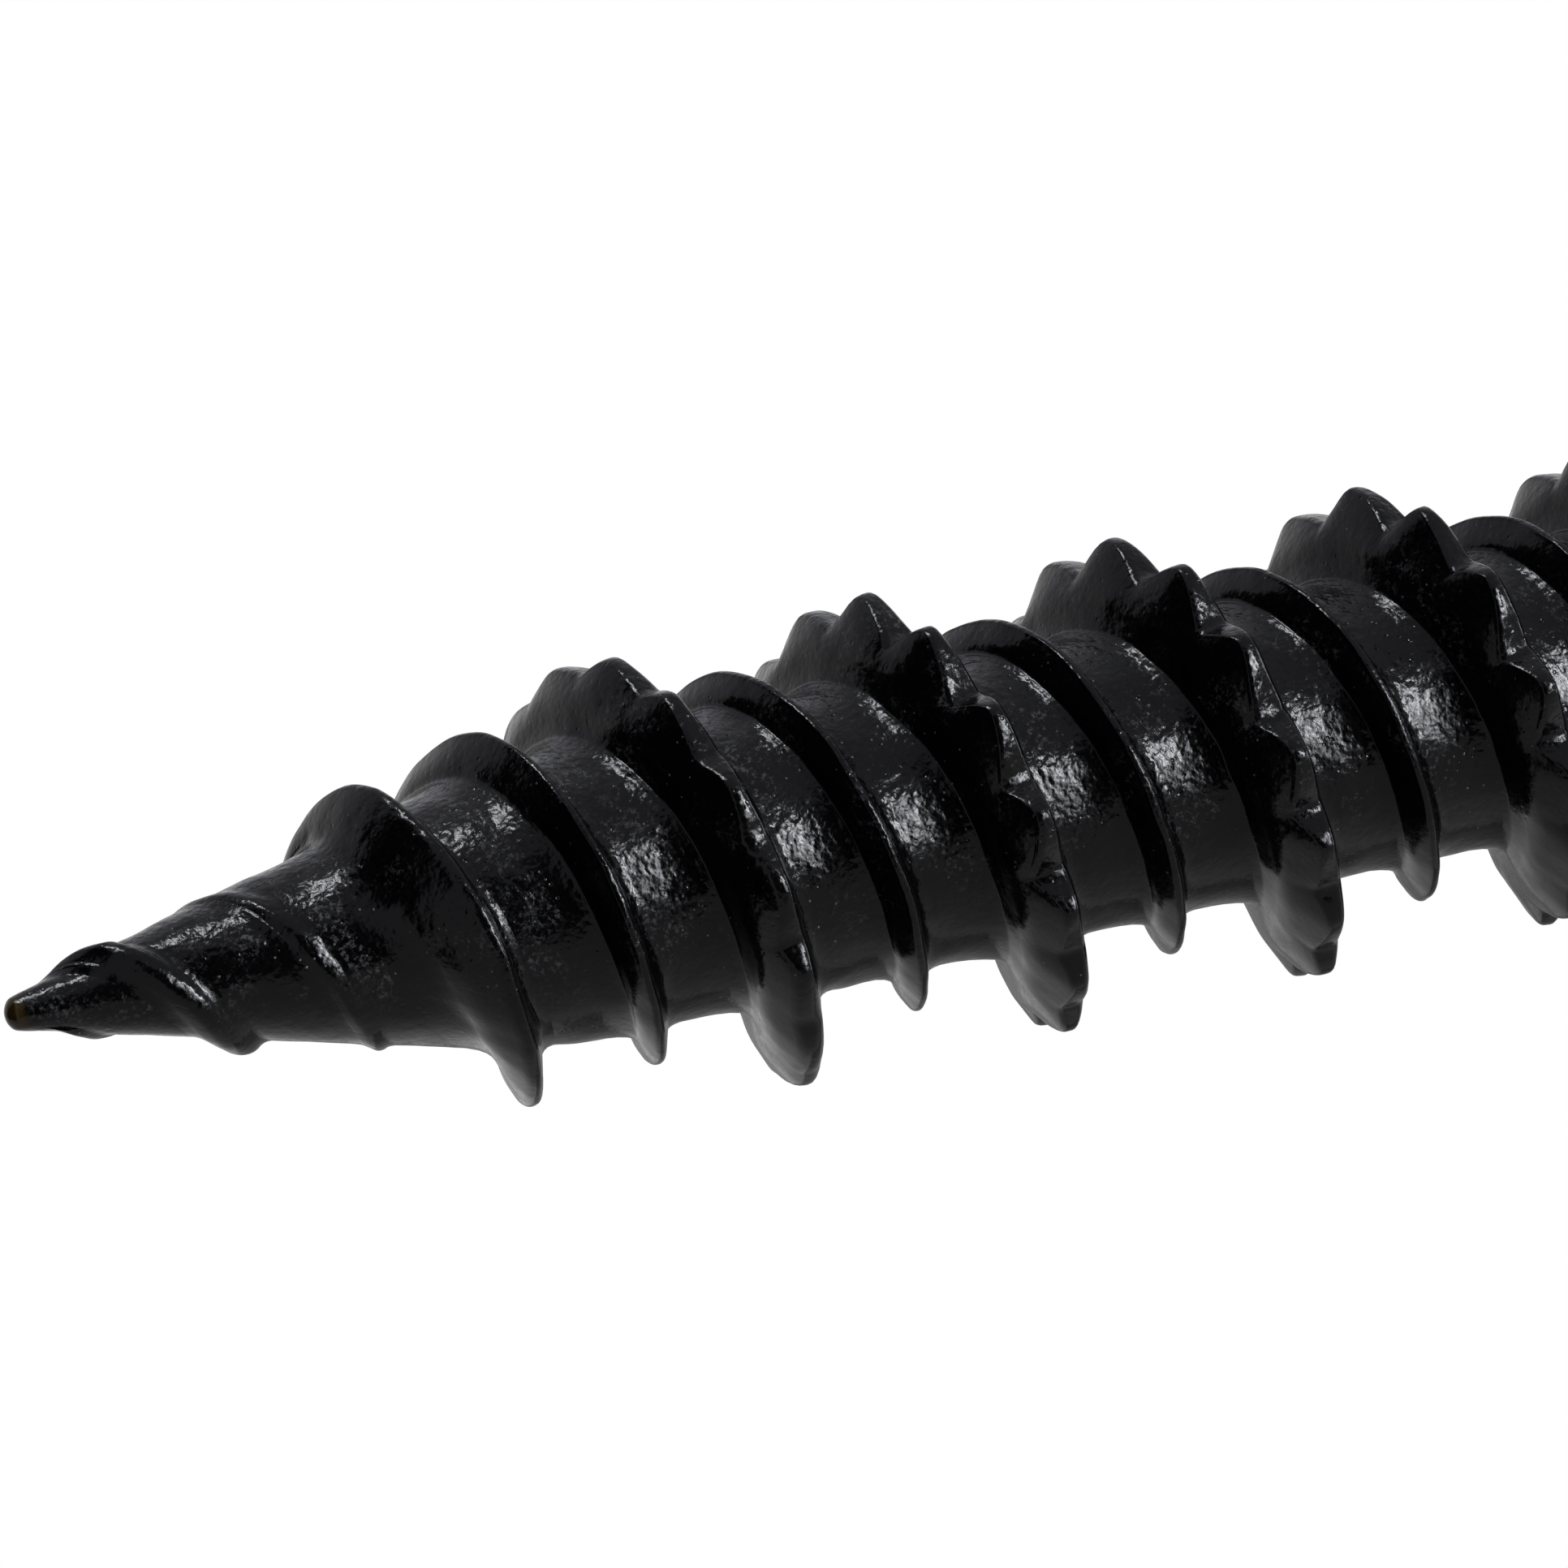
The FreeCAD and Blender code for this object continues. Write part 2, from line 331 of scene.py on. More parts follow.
class Ridge:
    """A right-hand helical ridge with soft feet and crest, given by its full-height section.

    Its phase is its angle at the tip, and its radius is the crest's without the coat. Its widths
    are those of the crest, the leading flank and the trailing flank, and the leading flank bulges
    at its middle.
    """

    def __init__(self, phase, radius, rise, widths, bulge, softness):
        self.phase = phase
        self.height = radius + COAT - core_radius
        self.rise = rise
        self.crest_width, leading_width, trailing_width = widths
        self.leading_slope = leading_width / self.height
        self.trailing_slope = trailing_width / self.height
        self.bulge = bulge
        self.softness = softness

    def distance(self, angle):
        """Distance of the ridge's middle from the tip at an unwound angle."""
        return LEAD * (angle - self.phase) / 360

    def angle(self, distance):
        """Unwound angle at which the ridge's middle is at a distance from the tip."""
        return self.phase + 360 * distance / LEAD

    def rings(self, angles, lead_cuts, trail_cuts):
        """Closed sections of the ridge at unwound angles, with its crest's two edges cut down."""
        middle = self.distance(angles)
        fade = np.clip((thread_end - middle) / RUN_OUT_LENGTH, 0, 1)
        height = np.maximum(END_HEIGHT, self.height * table(self.rise, middle) * fade)
        share = height / self.height
        soft = {name: table(pairs, middle) for name, pairs in self.softness.items()}
        half = self.crest_width / 2 * np.minimum(1, 2 * share) + soft["broad"]
        lead_cut, trail_cut = lead_cuts * share, trail_cuts * share
        lead_foot = middle - half - height * self.leading_slope - soft["flare"]
        trail_foot = middle + half + height * self.trailing_slope + soft["back_flare"]
        crest = middle - soft["lean"]
        lead_slope = (crest - half - lead_foot) / height
        trail_slope = (trail_foot - crest - half) / height
        belly = lead_foot + (height * 0.5) * lead_slope - self.bulge * share
        start, end = lead_foot - soft["lead"], trail_foot + soft["trail"]
        top = coated_radius(middle) + height - COAT
        corners = np.array([
            (start, coated_radius(start) - FOOT_SINK),
            (lead_foot, coated_radius(lead_foot)),
            (belly, (coated_radius(lead_foot) + top) / 2),
            (crest - half - lead_cut * lead_slope, top - lead_cut),
            (crest + half + trail_cut * trail_slope, top - trail_cut),
            (trail_foot, coated_radius(trail_foot)),
            (end, coated_radius(end) - FOOT_SINK),
        ]).transpose(2, 0, 1)
        lead, up, trail, down, edge = (
            soft[name][:, None] for name in ("lead", "lead_up", "trail", "trail_up", "crest")
        )
        belly_reach = (BELLY_REACH, BELLY_REACH)
        reaches = [(lead, up), belly_reach, (edge, edge), (edge, 2 * edge), (down, trail)]
        outline = rounded(corners, reaches, SIDE_SHARES, CORNER_STEPS)
        under = outline[:, [-1, 0]] * [1, UNDERSIDE]
        outline = np.concatenate([outline, under], axis=1)
        return place(outline[..., 0], outline[..., 1], angles[:, None])


high_ridge = Ridge(
    phase=-137.4, radius=high_radius, rise=HIGH_RISE, widths=(0.18, 0.66, 0.31), bulge=0.12,
    softness=HIGH_SOFTNESS,
)
low_ridge = Ridge(
    phase=46.8, radius=low_radius, rise=LOW_RISE, widths=(0.12, 0.27, 0.14), bulge=0.05,
    softness=LOW_SOFTNESS,
)

# Sections of the low thread are this many degrees apart
LOW_SECTION_STEP = 2.0


def round_the_screw(angles, middle, width):
    """A smooth hump round the screw: 1 at its middle angle, and fading out over its width."""
    return np.exp(-((angles % 360 - middle) / width)**2)


def tooth_places(random):
    """Unwound angles of the tips and of the notches between them, notch depths, and tip cuts."""
    start, end = high_ridge.angle(THREAD_START), high_ridge.angle(thread_end)
    first = math.floor((start - TOOTH_PHASE) / TOOTH_STEP)
    last = math.ceil((end - TOOTH_PHASE) / TOOTH_STEP)
    numbers = np.arange(first, last + 1)
    tips = TOOTH_PHASE + TOOTH_STEP * (numbers + random.normal(0, TOOTH_SPREAD, len(numbers)))
    shares = NOTCH_PLACE + random.normal(0, NOTCH_SPREAD, len(numbers) - 1)
    middle, width, shift = EARLY_TEETH
    tips -= shift * round_the_screw(tips, middle, width)
    notches = tips[:-1] + (tips[1:] - tips[:-1]) * shares
    depths = NOTCH_DEPTH * random.normal(1, DEPTH_SPREAD, len(notches))
    middle, width, loss = SHALLOW_NOTCHES
    depths *= 1 - loss * round_the_screw(notches, middle, width)
    depths *= table(NOTCH_WEAR, high_ridge.distance(notches))
    middle, width, cut = LOW_TEETH
    tip_cuts = np.abs(random.normal(0, BLUNT_SPREAD, len(tips)))
    tip_cuts += cut * (abs(tips % 360 - middle) < width)
    return tips, notches, depths, tip_cuts


def toothed():
    """Unwound angles along the high thread, and how far its crest's two edges are cut at each.

    Notches are V-shaped, a little uneven, nearer to the tooth that follows, and run askew across
    the crest.
    """
    tips, notches, depths, tip_cuts = tooth_places(np.random.default_rng(TOOTH_SEED))
    knots = np.empty(len(tips) + len(notches))
    knots[0::2], knots[1::2] = tips, notches
    runs = []
    for number in range(len(knots) - 1):
        count = VALLEY_SAMPLES if number % 2 else TIP_SAMPLES
        runs.append(np.linspace(knots[number], knots[number + 1], count, endpoint=False))
    angles = np.concatenate(runs)
    along = high_ridge.distance(angles)
    angles = angles[(along >= THREAD_START) & (along <= thread_end)]
    full_slant = math.hypot(1, TOOTH_ROUND) - TOOTH_ROUND

    def cuts(moved):
        order = np.interp(moved, knots, np.arange(len(knots)))
        depth = np.interp(order, np.arange(1, len(knots), 2), depths)
        tip_cut = np.interp(order, np.arange(0, len(knots), 2), tip_cuts)
        near = 1 - np.abs(order % 2 - 1)
        slant = (np.hypot(near, TOOTH_ROUND) - TOOTH_ROUND) / full_slant
        return (tip_cut + depth * slant) * table(NOTCH_RISE, high_ridge.distance(angles))

    level = cuts(angles)
    skew = math.degrees(NOTCH_SKEW / high_radius)
    half_crest = high_ridge.crest_width / 2
    lead = cuts(angles - skew * (half_crest + level * high_ridge.leading_slope))
    trail = cuts(angles + skew * (half_crest + level * high_ridge.trailing_slope))
    return angles, lead, trail


def make_high_thread(material):
    """The tall thread with saw teeth."""
    rings = uneven(high_ridge.rings(*toothed()))
    return ring_piece("high_thread_coated", rings, material, replaces=["high_thread"])


def make_low_thread(material):
    """The low, smooth thread."""
    start, end = low_ridge.angle(THREAD_START), low_ridge.angle(thread_end)
    angles = np.arange(start, end, LOW_SECTION_STEP)
    uncut = np.zeros_like(angles)
    rings = uneven(low_ridge.rings(angles, uncut, uncut))
    return ring_piece("low_thread_coated", rings, material, replaces=["low_thread"])


# ---------------------------------------------------------------- round pieces

# How many places go round each piece, and how many rings it has or how many millimetres apart
POINT_SEGMENTS = 150
POINT_RING_STEP = 0.09
CORE_SEGMENTS = 180
CORE_RINGS = 520
SHANK_SEGMENTS = 150
SHANK_RING_STEP = 0.2
HEAD_SEGMENTS = 480
HEAD_RING_STEP = 0.16

# The tip's rings start this many radians off the axis
TIP_RINGS = 8
TIP_OPENING = 0.06


def lathe(distances, radii, segments):
    """Rings around the axis for distances from the tip and radii."""
    angles = np.linspace(0, 360, segments, endpoint=False)
    return place(np.asarray(distances)[:, None], np.asarray(radii)[:, None], angles[None, :])


def make_point(material):
    """The rounded tip, close-set rings up the cone, and the arc into the core."""
    opening = np.linspace(TIP_OPENING, math.pi / 2 - POINT_HALF_ANGLE, TIP_RINGS)
    tip = TIP_RADIUS * (1 - np.cos(opening))
    cone = np.arange(cone_start, point_length, POINT_RING_STEP)[1:]
    distances = np.concatenate([tip, cone, [point_length]])
    rings = uneven(lathe(distances, coated_radius(distances), POINT_SEGMENTS))
    return ring_piece("point_coated", rings, material, replaces=["point"])


def make_core(material):
    """The round core, with rings close enough to carry the coat's unevenness."""
    distances = np.linspace(point_length, thread_top_x - tip_x, CORE_RINGS)
    rings = uneven(lathe(distances, coated_radius(distances), CORE_SEGMENTS))
    return ring_piece("thread_core_coated", rings, material, replaces=["thread_core"])


# How many places go round a corner of a profile, and the share of its sides that it may take
PROFILE_STEPS = 5
PROFILE_SHARE = 0.48


def soft_profile(corners, reaches):
    """Distances and radii of a profile whose inner corners are rounded over their reaches."""
    shares = [(PROFILE_SHARE, PROFILE_SHARE)] * len(reaches)
    pairs = [(reach, reach) for reach in reaches]
    outline = rounded(np.array([corners], float), pairs, shares, PROFILE_STEPS)[0]
    return outline[:, 0], outline[:, 1]


def subdivided(distances, radii, longest):
    """The same profile with extra places wherever two neighbours are further apart than longest."""
    xs, ys = [distances[0]], [radii[0]]
    for x_step, y_step in zip(np.diff(distances), np.diff(radii)):
        count = max(1, math.ceil(math.hypot(x_step, y_step) / longest))
        share = np.arange(1, count + 1) / count
        xs += list(xs[-1] + x_step * share)
        ys += list(ys[-1] + y_step * share)
    return np.array(xs), np.array(ys)


def make_shank(material):
    """The smooth shank, with a soft shoulder down to the core."""
    start, shoulder, top = (x - tip_x for x in (thread_top_x, shoulder_x, shank_top_x))
    corners = [
        (start, core_radius + COAT), (start + SEAM, core_radius + COAT), (shoulder, shank_radius),
        (top, shank_radius),
    ]
    profile = subdivided(*soft_profile(corners, [SEAM, SHOULDER_ROUND]), SHANK_RING_STEP)
    rings = uneven(lathe(*profile, SHANK_SEGMENTS))
    return ring_piece("shank_coated", rings, material, replaces=["shank"])


def socket_radius(angle):
    """Radius of the socket's outline: convex lobes joined by concave arcs tangent to them."""
    half_step = math.pi / SOCKET_LOBES
    turn = np.radians(angle)
    near = np.abs((turn + half_step) % (2 * half_step) - half_step)
    centre = SOCKET_POINTS_RADIUS - SOCKET_LOBE_RADIUS
    flats = SOCKET_FLATS_RADIUS
    along = centre * math.cos(half_step)
    gap = centre**2 + flats**2 - 2 * flats * along - SOCKET_LOBE_RADIUS**2
    waist_radius = gap / (2 * (along + SOCKET_LOBE_RADIUS - flats))
    waist_centre = flats + waist_radius
    reach = SOCKET_LOBE_RADIUS / (SOCKET_LOBE_RADIUS + waist_radius)
    joint_x = centre + (waist_centre * math.cos(half_step) - centre) * reach
    joint_y = waist_centre * math.sin(half_step) * reach
    joint = math.atan2(joint_y, joint_x)
    lobe = centre * np.cos(near)
    lobe = lobe + np.sqrt(np.clip(SOCKET_LOBE_RADIUS**2 - (centre * np.sin(near))**2, 0, None))
    far = half_step - near
    waist = waist_centre * np.cos(far)
    waist = waist - np.sqrt(np.clip(waist_radius**2 - (waist_centre * np.sin(far))**2, 0, None))
    return np.where(near < joint, lobe, waist)


def make_head(material):
    """The countersunk head: cone, rim, flat top, and the socket's soft mouth, walls and floor."""
    start, length = shank_top_x - tip_x, -tip_x - HEAD_SHRINK
    corners = [
        (start, shank_radius), (start + SEAM, shank_radius + SEAM / 2),
        (length - RIM_HEIGHT, head_radius - HEAD_SHRINK), (length, head_radius - HEAD_SHRINK),
        (length, FLAT_INNER_RADIUS),
    ]
    outside = subdivided(*soft_profile(corners, [SEAM, *RIM_ROUNDS]), HEAD_RING_STEP)
    angles = np.linspace(0, 360, HEAD_SEGMENTS, endpoint=False)
    outline = socket_radius(angles)
    rings = [place(distance, radius, angles) for distance, radius in zip(*outside)]
    blend_from = outside[1][-1]
    mouth = outline + SOCKET_MOUTH_ROUND
    for share in (0.25, 0.5, 0.75):
        rings.append(place(length, blend_from + (mouth - blend_from) * share, angles))
    for turn in np.radians([0, 22, 45, 68, 90]):
        edge = outline + SOCKET_MOUTH_ROUND * (1 - math.sin(turn))
        rings.append(place(length - SOCKET_MOUTH_ROUND * (1 - math.cos(turn)), edge, angles))
    for depth in np.linspace(SOCKET_WALL_START, SOCKET_DEPTH - SOCKET_FLOOR_ROUND, 12):
        rings.append(place(length - depth, outline - SOCKET_DRAFT * depth, angles))
    wall = outline - SOCKET_DRAFT * SOCKET_DEPTH
    for turn in np.radians([15, 35, 55, 75, 90]):
        inner = wall - SOCKET_FLOOR_ROUND * (1 - math.cos(turn))
        depth = SOCKET_DEPTH - SOCKET_FLOOR_ROUND * (1 - math.sin(turn))
        rings.append(place(length - depth, inner, angles))
    for share in np.linspace(0.85, 0.03, 8):
        floor = (wall - SOCKET_FLOOR_ROUND) * share
        depth = SOCKET_DEPTH + SOCKET_CONE_DEPTH * (1 - share)
        rings.append(place(length - depth, floor, angles))
    return ring_piece("head_coated", uneven(np.stack(rings)), material, replaces=["head"])


# ---------------------------------------------------------------- materials

# Colours: the two shades of the black coat, its smudges and dust, the scuffs on the point, and the
# worn end of the tip. Smudges and scuffs are lighter grey, and their growth towards the top is
# painted sheen.
BLACK_SHADES = ((0.0002, 0.0002, 0.00025), (0.0007, 0.0007, 0.0008))
SMUDGE_AND_SHEEN_COLOUR = (0.014, 0.014, 0.015)
DUST_COLOUR = (0.04, 0.04, 0.043)
SCUFF_AND_SHEEN_COLOUR = (0.022, 0.022, 0.024)
WORN_COLOUR = (0.008, 0.0048, 0.0009)

# The coat mirrors weakly for a varnish, and its roughness lies between two values
COAT_IOR = 1.2
COAT_ROUGHNESS = (0.09, 0.26)

# Millimetres: the heights from the axis between which the smudges and scuffs, whose growth towards
# the top is painted sheen, and the bumps grow to their full strength, the length of the worn end
# and how ragged its edge is, and how far the bumps stand out
SMUDGE_SHEEN_HEIGHTS = (-0.9, 0.9)
BUMP_HEIGHTS = (-0.9, 1.1)
WORN_LENGTH = 0.16
WORN_RAGGED = 0.25
BUMP_SIZE = 0.012


class Nodes:
    """A material's node tree, with short ways to add and join nodes."""

    def __init__(self, name):
        self.material = bpy.data.materials.new(name)
        self.material.use_nodes = True
        self.tree = self.material.node_tree
        self.shader = self.tree.nodes["Principled BSDF"]
        self.output = self.tree.nodes["Material Output"]
        coordinates = self.tree.nodes.new("ShaderNodeTexCoord")
        self.place = coordinates.outputs["Object"]
        self.normal = coordinates.outputs["Normal"]

    def add(self, kind, links=None, **inputs):
        """A new node, with some inputs joined to outputs and others set to values."""
        node = self.tree.nodes.new(kind)
        for key, value in inputs.items():
            node.inputs[key].default_value = value
        for key, source in (links or {}).items():
            self.tree.links.new(source, node.inputs[key])
        return node

    def math(self, operation, *values):
        """The result of one operation on numbers or outputs."""
        node = self.tree.nodes.new("ShaderNodeMath")
        node.operation = operation
        for socket, value in zip(node.inputs, values):
            if isinstance(value, (int, float)):
                socket.default_value = value
            else:
                self.tree.links.new(value, socket)
        return node.outputs[0]

    def product(self, first, *others):
        """Outputs or numbers multiplied together."""
        for other in others:
            first = self.math("MULTIPLY", first, other)
        return first

    def weighted(self, *parts):
        """Outputs added up, each with its own weight: (output, weight)."""
        total = self.product(*parts[0])
        for part in parts[1:]:
            total = self.math("ADD", total, self.product(*part))
        return total

    def axis(self, vector, name):
        """The named coordinate of a vector output."""
        return self.add("ShaderNodeSeparateXYZ", {"Vector": vector}).outputs[name]

    def noise(self, size, detail=2.0, roughness=0.5, offset=0.0):
        """Noise whose lumps are about size millimetres across."""
        node = self.add("ShaderNodeTexNoise", {"Vector": self.place})
        node.noise_dimensions = "4D"
        settings = {"W": offset, "Scale": 1 / (size * MM), "Detail": detail, "Roughness": roughness}
        for key, value in settings.items():
            node.inputs[key].default_value = value
        return node.outputs["Fac"]

    def cells(self, size):
        """Distance from the nearest of scattered points about size millimetres apart."""
        node = self.add("ShaderNodeTexVoronoi", {"Vector": self.place}, Scale=1 / (size * MM))
        return node.outputs["Distance"]

    def ramp(self, value, start, end, first=0.0, last=1.0):
        """A value between start and end turned into one eased from first to last."""
        node = self.add("ShaderNodeMapRange", {"Value": value})
        node.interpolation_type = "SMOOTHSTEP"
        settings = {"From Min": start, "From Max": end, "To Min": first, "To Max": last}
        for key, value in settings.items():
            node.inputs[key].default_value = value
        return node.outputs["Result"]

    def mix(self, share, one, other):
        """Two colours, or outputs, mixed by share."""
        node = self.tree.nodes.new("ShaderNodeMix")
        node.data_type = "RGBA"
        self.tree.links.new(share, node.inputs["Factor"])
        for key, value in (("A", one), ("B", other)):
            socket = next(s for s in node.inputs if s.name == key and s.type == "RGBA")
            if isinstance(value, tuple):
                socket.default_value = (*value, 1)
            else:
                self.tree.links.new(value, socket)
        return next(s for s in node.outputs if s.type == "RGBA")


def smudges_and_sheen(nodes, sheen_on_top):
    """Lighter grey smudges of fine grain in wide patches, stronger on the upper side: partly dirt,
    and partly painted sheen where the light falls.
    """
    patches = nodes.ramp(nodes.noise(0.9, detail=1.0, offset=17.0), 0.48, 0.66)
    grain = nodes.ramp(nodes.noise(0.07, detail=3.0, roughness=0.7, offset=19.0), 0.52, 0.68)
    return nodes.product(grain, patches, sheen_on_top)


def scuffs_and_sheen(nodes, sheen_on_top):
    """Scuffs like the smudges, but closer together and of finer grain; their growth towards the
    upper side is painted sheen.
    """
    patches = nodes.ramp(nodes.noise(0.5, detail=2.0, offset=41.0), 0.42, 0.62)
    grain = nodes.ramp(nodes.noise(0.06, detail=3.0, roughness=0.7, offset=43.0), 0.50, 0.66)
    return nodes.product(grain, patches, sheen_on_top)


def dust_specks(nodes):
    """Scattered specks of dust, in wide patches."""
    patches = nodes.ramp(nodes.noise(1.1, detail=1.0, offset=11.0), 0.45, 0.70)
    specks = nodes.ramp(nodes.cells(0.17), 0.12, 0.06)
    return nodes.product(specks, patches)


def worn_end(nodes):
    """The worn end of the tip, with a ragged edge."""
    from_tip = nodes.math("SUBTRACT", nodes.axis(nodes.place, "X"), tip_x * MM)
    ragged = nodes.product(nodes.noise(0.18, offset=5.0), -WORN_RAGGED * MM)
    return nodes.ramp(nodes.math("ADD", from_tip, ragged), WORN_LENGTH * MM, 0.0)


def coat_bumps(nodes, grain, peel, dust):
    """Bumps of the coat: weaker on the lower side, and on flanks that face along the screw."""
    relief = nodes.weighted(
        (grain, 0.25),
        (nodes.noise(0.11, detail=1.0, offset=31.0), 1.0),
        (peel, 0.8),
        (nodes.noise(0.38, detail=1.0, offset=23.0), 1.0),
        (nodes.ramp(nodes.cells(0.16), 0.10, 0.32), 0.15),
        (nodes.ramp(nodes.cells(0.21), 0.05, 0.16), 0.45),
        (dust, 0.5),
    )
    start, end = (height * MM for height in BUMP_HEIGHTS)
    sides = nodes.ramp(nodes.axis(nodes.place, "Z"), start, end, first=0.35, last=1.3)
    facing = nodes.math("ABSOLUTE", nodes.axis(nodes.normal, "X"))
    flanks = nodes.ramp(facing, 0.45, 0.85, first=1.0, last=0.45)
    relief = nodes.product(relief, sides, flanks)
    bump = nodes.add("ShaderNodeBump", {"Height": relief}, Strength=1.0, Distance=BUMP_SIZE * MM)
    return bump.outputs["Normal"]


def coat_material(name, worn_tip=False):
    """A thick, glossy black coat with fine grain, orange peel, pits, smudges and dust, and painted
    sheen on the upper side.
    """
    nodes = Nodes(name)
    start, end = (height * MM for height in SMUDGE_SHEEN_HEIGHTS)
    # Grows towards the top, where the light falls: the painted sheen in the smudges and scuffs
    sheen_on_top = nodes.ramp(nodes.axis(nodes.place, "Z"), start, end)
    grain = nodes.noise(0.05, detail=3.0, roughness=0.6)
    peel = nodes.noise(0.16, detail=2.0, offset=3.0)
    dust = dust_specks(nodes)
    colour = nodes.mix(nodes.noise(0.9, detail=2.0, offset=7.0), *BLACK_SHADES)
    # Lighter grey smudges, partly painted sheen on the upper side
    colour = nodes.mix(smudges_and_sheen(nodes, sheen_on_top), colour, SMUDGE_AND_SHEEN_COLOUR)
    colour = nodes.mix(dust, colour, DUST_COLOUR)
    if worn_tip:
        # Lighter grey scuffs on the point, partly painted sheen on the upper side
        colour = nodes.mix(scuffs_and_sheen(nodes, sheen_on_top), colour, SCUFF_AND_SHEEN_COLOUR)
        colour = nodes.mix(worn_end(nodes), colour, WORN_COLOUR)
    uneven_gloss = nodes.math("ADD", nodes.product(peel, 0.5), grain)
    roughness = nodes.ramp(uneven_gloss, 0.5, 1.0, *COAT_ROUGHNESS)
    nodes.shader.inputs["IOR"].default_value = COAT_IOR
    links = {
        "Base Color": colour, "Roughness": roughness,
        "Normal": coat_bumps(nodes, grain, peel, dust),
    }
    for key, source in links.items():
        nodes.tree.links.new(source, nodes.shader.inputs[key])
    return nodes.material


def glow_material(name, strength):
    """A surface that gives off plain white light."""
    nodes = Nodes(name)
    glow = nodes.add("ShaderNodeEmission", Strength=strength)
    nodes.tree.links.new(glow.outputs[0], nodes.output.inputs["Surface"])
    return nodes.material


# ---------------------------------------------------------------- camera, floor and light

# A heading is an angle in degrees from +Y towards +X, and lengths are in millimetres.

# The photograph's view: the camera's heading, how steeply it looks down, its distance, its angle of
# view, what is at the middle of the frame, from the tip, and how near and far it sees
VIEW_HEADING = 23.95
VIEW_HEIGHT = 28.14
VIEW_DISTANCE = 110.7
VIEW_WIDTH = 10.2
VIEW_MIDDLE = (9.55, -2.72, 2.56)
CLIP_RANGE = (5.0, 10000.0)

# The studio's white, which is a touch cool, and the colour of the softboxes
SKY_COLOUR = (1.0, 1.01, 1.12, 1)
SOFTBOX_COLOUR = (0.93, 0.95, 1.0)

# How far the floor is below the screw, how wide it is, and how far away the flags and softboxes are
FLOOR_DROP = 60.0
FLOOR_SIZE = 6000.0
FLAG_REACH = 100.0
SOFTBOX_REACH = 300.0

# The grey card on the floor: how far above it, where it starts and ends along X from the middle of
# the frame and along Y from the screw's axis, and how bright it is
SHADE_LIFT = 1.0
SHADE_X = (12.0, 150.0)
SHADE_Y = (-10.0, 150.0)
SHADE_GREY = 0.35


def heading_vector(heading, height):
    """Unit vector for a heading and a height above the level, both in degrees."""
    turn, lift = math.radians(heading), math.radians(height)
    level = math.cos(lift)
    return Vector((math.sin(turn) * level, math.cos(turn) * level, math.sin(lift)))


# The camera's direction, and the place in the middle of the frame
look = heading_vector(VIEW_HEADING, -VIEW_HEIGHT)
middle_x, middle_y, middle_z = VIEW_MIDDLE
subject = Vector((tip_x + middle_x, middle_y, middle_z)) * MM


def make_camera():
    """The photograph's camera."""
    data = bpy.data.cameras.new("camera")
    data.angle = math.radians(VIEW_WIDTH)
    data.clip_start, data.clip_end = (distance * MM for distance in CLIP_RANGE)
    camera = bpy.data.objects.new("camera", data)
    camera.location = subject - look * VIEW_DISTANCE * MM
    camera.rotation_euler = look.to_track_quat("-Z", "Y").to_euler()
    bpy.context.scene.collection.objects.link(camera)
    bpy.context.scene.camera = camera


def make_world():
    """An even white studio all round."""
    world = bpy.data.worlds.new("studio")
    world.use_nodes = True
    sky = world.node_tree.nodes["Background"]
    sky.inputs["Color"].default_value = SKY_COLOUR
    sky.inputs["Strength"].default_value = 1.0
    bpy.context.scene.world = world


def stage_mesh(name, places, faces, material, seen=True):
    """A mesh of the studio; one that isn't seen shows in the coat's reflections only."""
    mesh = bpy.data.meshes.new(name)
    mesh.from_pydata(places, [], faces)
    mesh.materials.append(material)
    card = bpy.data.objects.new(name, mesh)
    card.visible_camera = seen
    bpy.context.scene.collection.objects.link(card)


def level_corners(xs, ys, z):
    """Corners in metres of a level rectangle given in millimetres."""
    (left, right), (front, back) = xs, ys
    corners = ((left, front), (right, front), (right, back), (left, back))
    return [(x * MM, y * MM, z * MM) for x, y in corners]


def make_floor():
    """A plain white floor, lit so evenly that it shows no shadow."""
    sides = (-FLOOR_SIZE / 2, FLOOR_SIZE / 2)
    corners = level_corners(sides, sides, -FLOOR_DROP)
    stage_mesh("floor", corners, [(0, 1, 2, 3)], glow_material("white_floor", 1.0))


def make_shade():
    """A grey card on the floor behind the screw."""
    xs = [subject.x / MM + x for x in SHADE_X]
    corners = level_corners(xs, SHADE_Y, SHADE_LIFT - FLOOR_DROP)
    grey = glow_material("grey_card", SHADE_GREY)
    stage_mesh("floor_shade", corners, [(0, 1, 2, 3)], grey, seen=False)


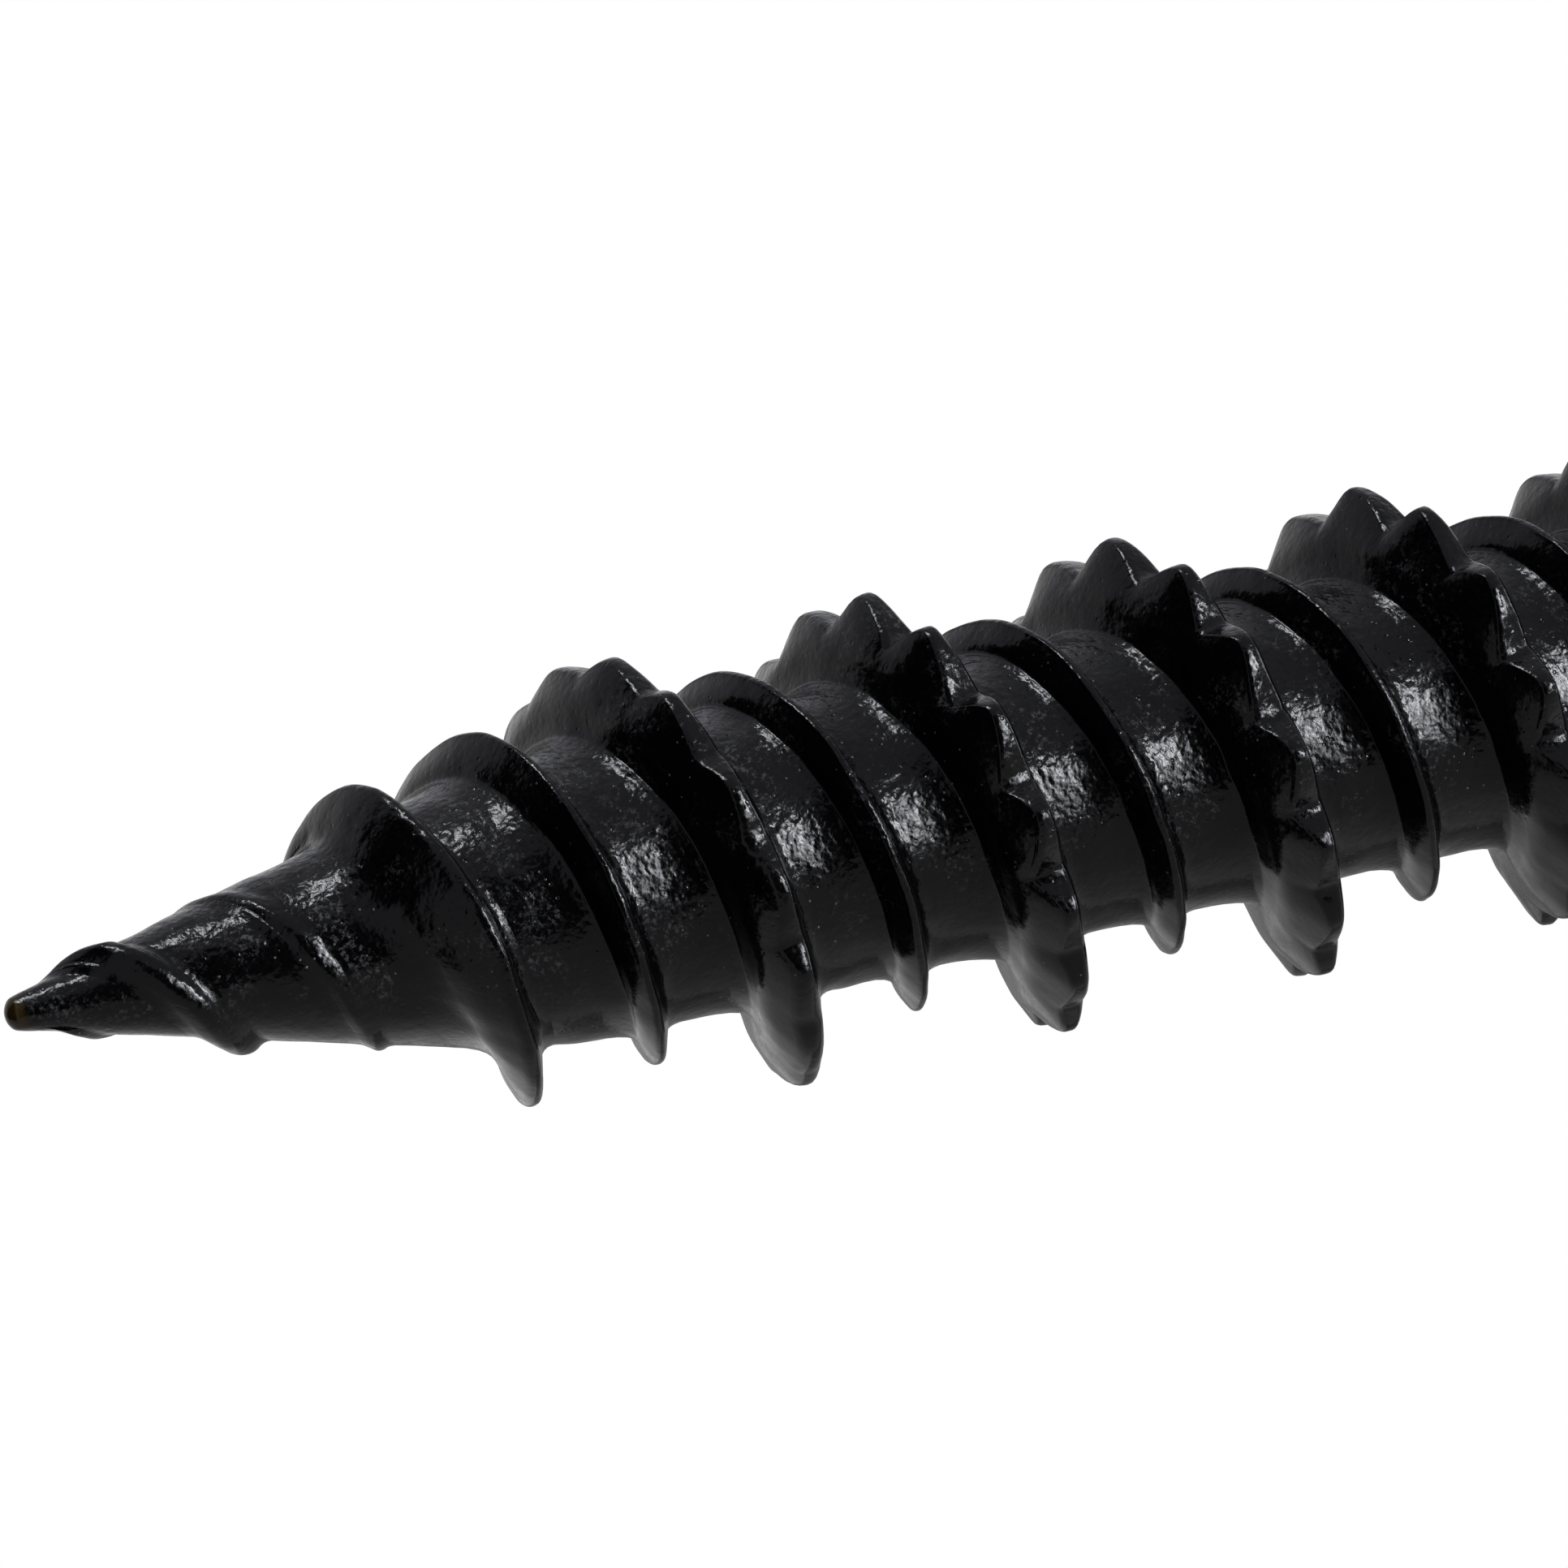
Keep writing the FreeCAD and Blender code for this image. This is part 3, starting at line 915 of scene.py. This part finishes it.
def make_flag(name, headings, heights):
    """A black card bent round the screw."""
    rows = np.linspace(*heights, 9)
    columns = np.linspace(*headings, 17)
    reach = FLAG_REACH * MM
    places = [tuple(subject + heading_vector(c, r) * reach) for r in rows for c in columns]
    width = len(columns)
    faces = [
        (i * width + j, i * width + j + 1, (i + 1) * width + j + 1, (i + 1) * width + j)
        for i in range(len(rows) - 1) for j in range(width - 1)
    ]
    nodes = Nodes(name)
    nodes.shader.inputs["Base Color"].default_value = (0.0, 0.0, 0.0, 1)
    nodes.shader.inputs["Specular IOR Level"].default_value = 0.0
    stage_mesh(name, places, faces, nodes.material, seen=False)


def make_softbox(name, heading, height, size, power):
    """A rectangular light that faces the screw."""
    data = bpy.data.lights.new(name, "AREA")
    data.shape = "RECTANGLE"
    data.size, data.size_y = (side * MM for side in size)
    data.energy = power
    data.color = SOFTBOX_COLOUR
    light = bpy.data.objects.new(name, data)
    way = heading_vector(heading, height)
    light.location = subject + way * SOFTBOX_REACH * MM
    light.rotation_euler = way.to_track_quat("Z", "Y").to_euler()
    light.visible_camera = False
    bpy.context.scene.collection.objects.link(light)


# ---------------------------------------------------------------- the scene

make_camera()
make_world()
make_floor()
make_shade()

# The white gap between the two flags gives the first flank of the high thread its grey
make_flag("left_flag", headings=(-104.0, -59.0), heights=(-31.0, 56.0))
make_flag("front_flag", headings=(-197.0, -142.0), heights=(-4.0, 56.0))
make_softbox("strip", heading=152.5, height=28.0, size=(38.0, 200.0), power=0.75)
make_softbox("root_box", heading=141.5, height=31.0, size=(24.0, 150.0), power=1.7)
make_softbox("right_box", heading=102.0, height=8.0, size=(70.0, 180.0), power=0.4)
make_softbox("overhead_box", heading=-31.0, height=67.0, size=(40.0, 90.0), power=0.75)

coat = coat_material("black_coat")
point_coat = coat_material("point_coat", worn_tip=True)
make_point(point_coat)
make_core(coat)
make_high_thread(coat)
make_low_thread(coat)
make_shank(coat)
make_head(coat)

scene = bpy.context.scene
scene.view_settings.view_transform = "Standard"
scene.view_settings.look = "None"
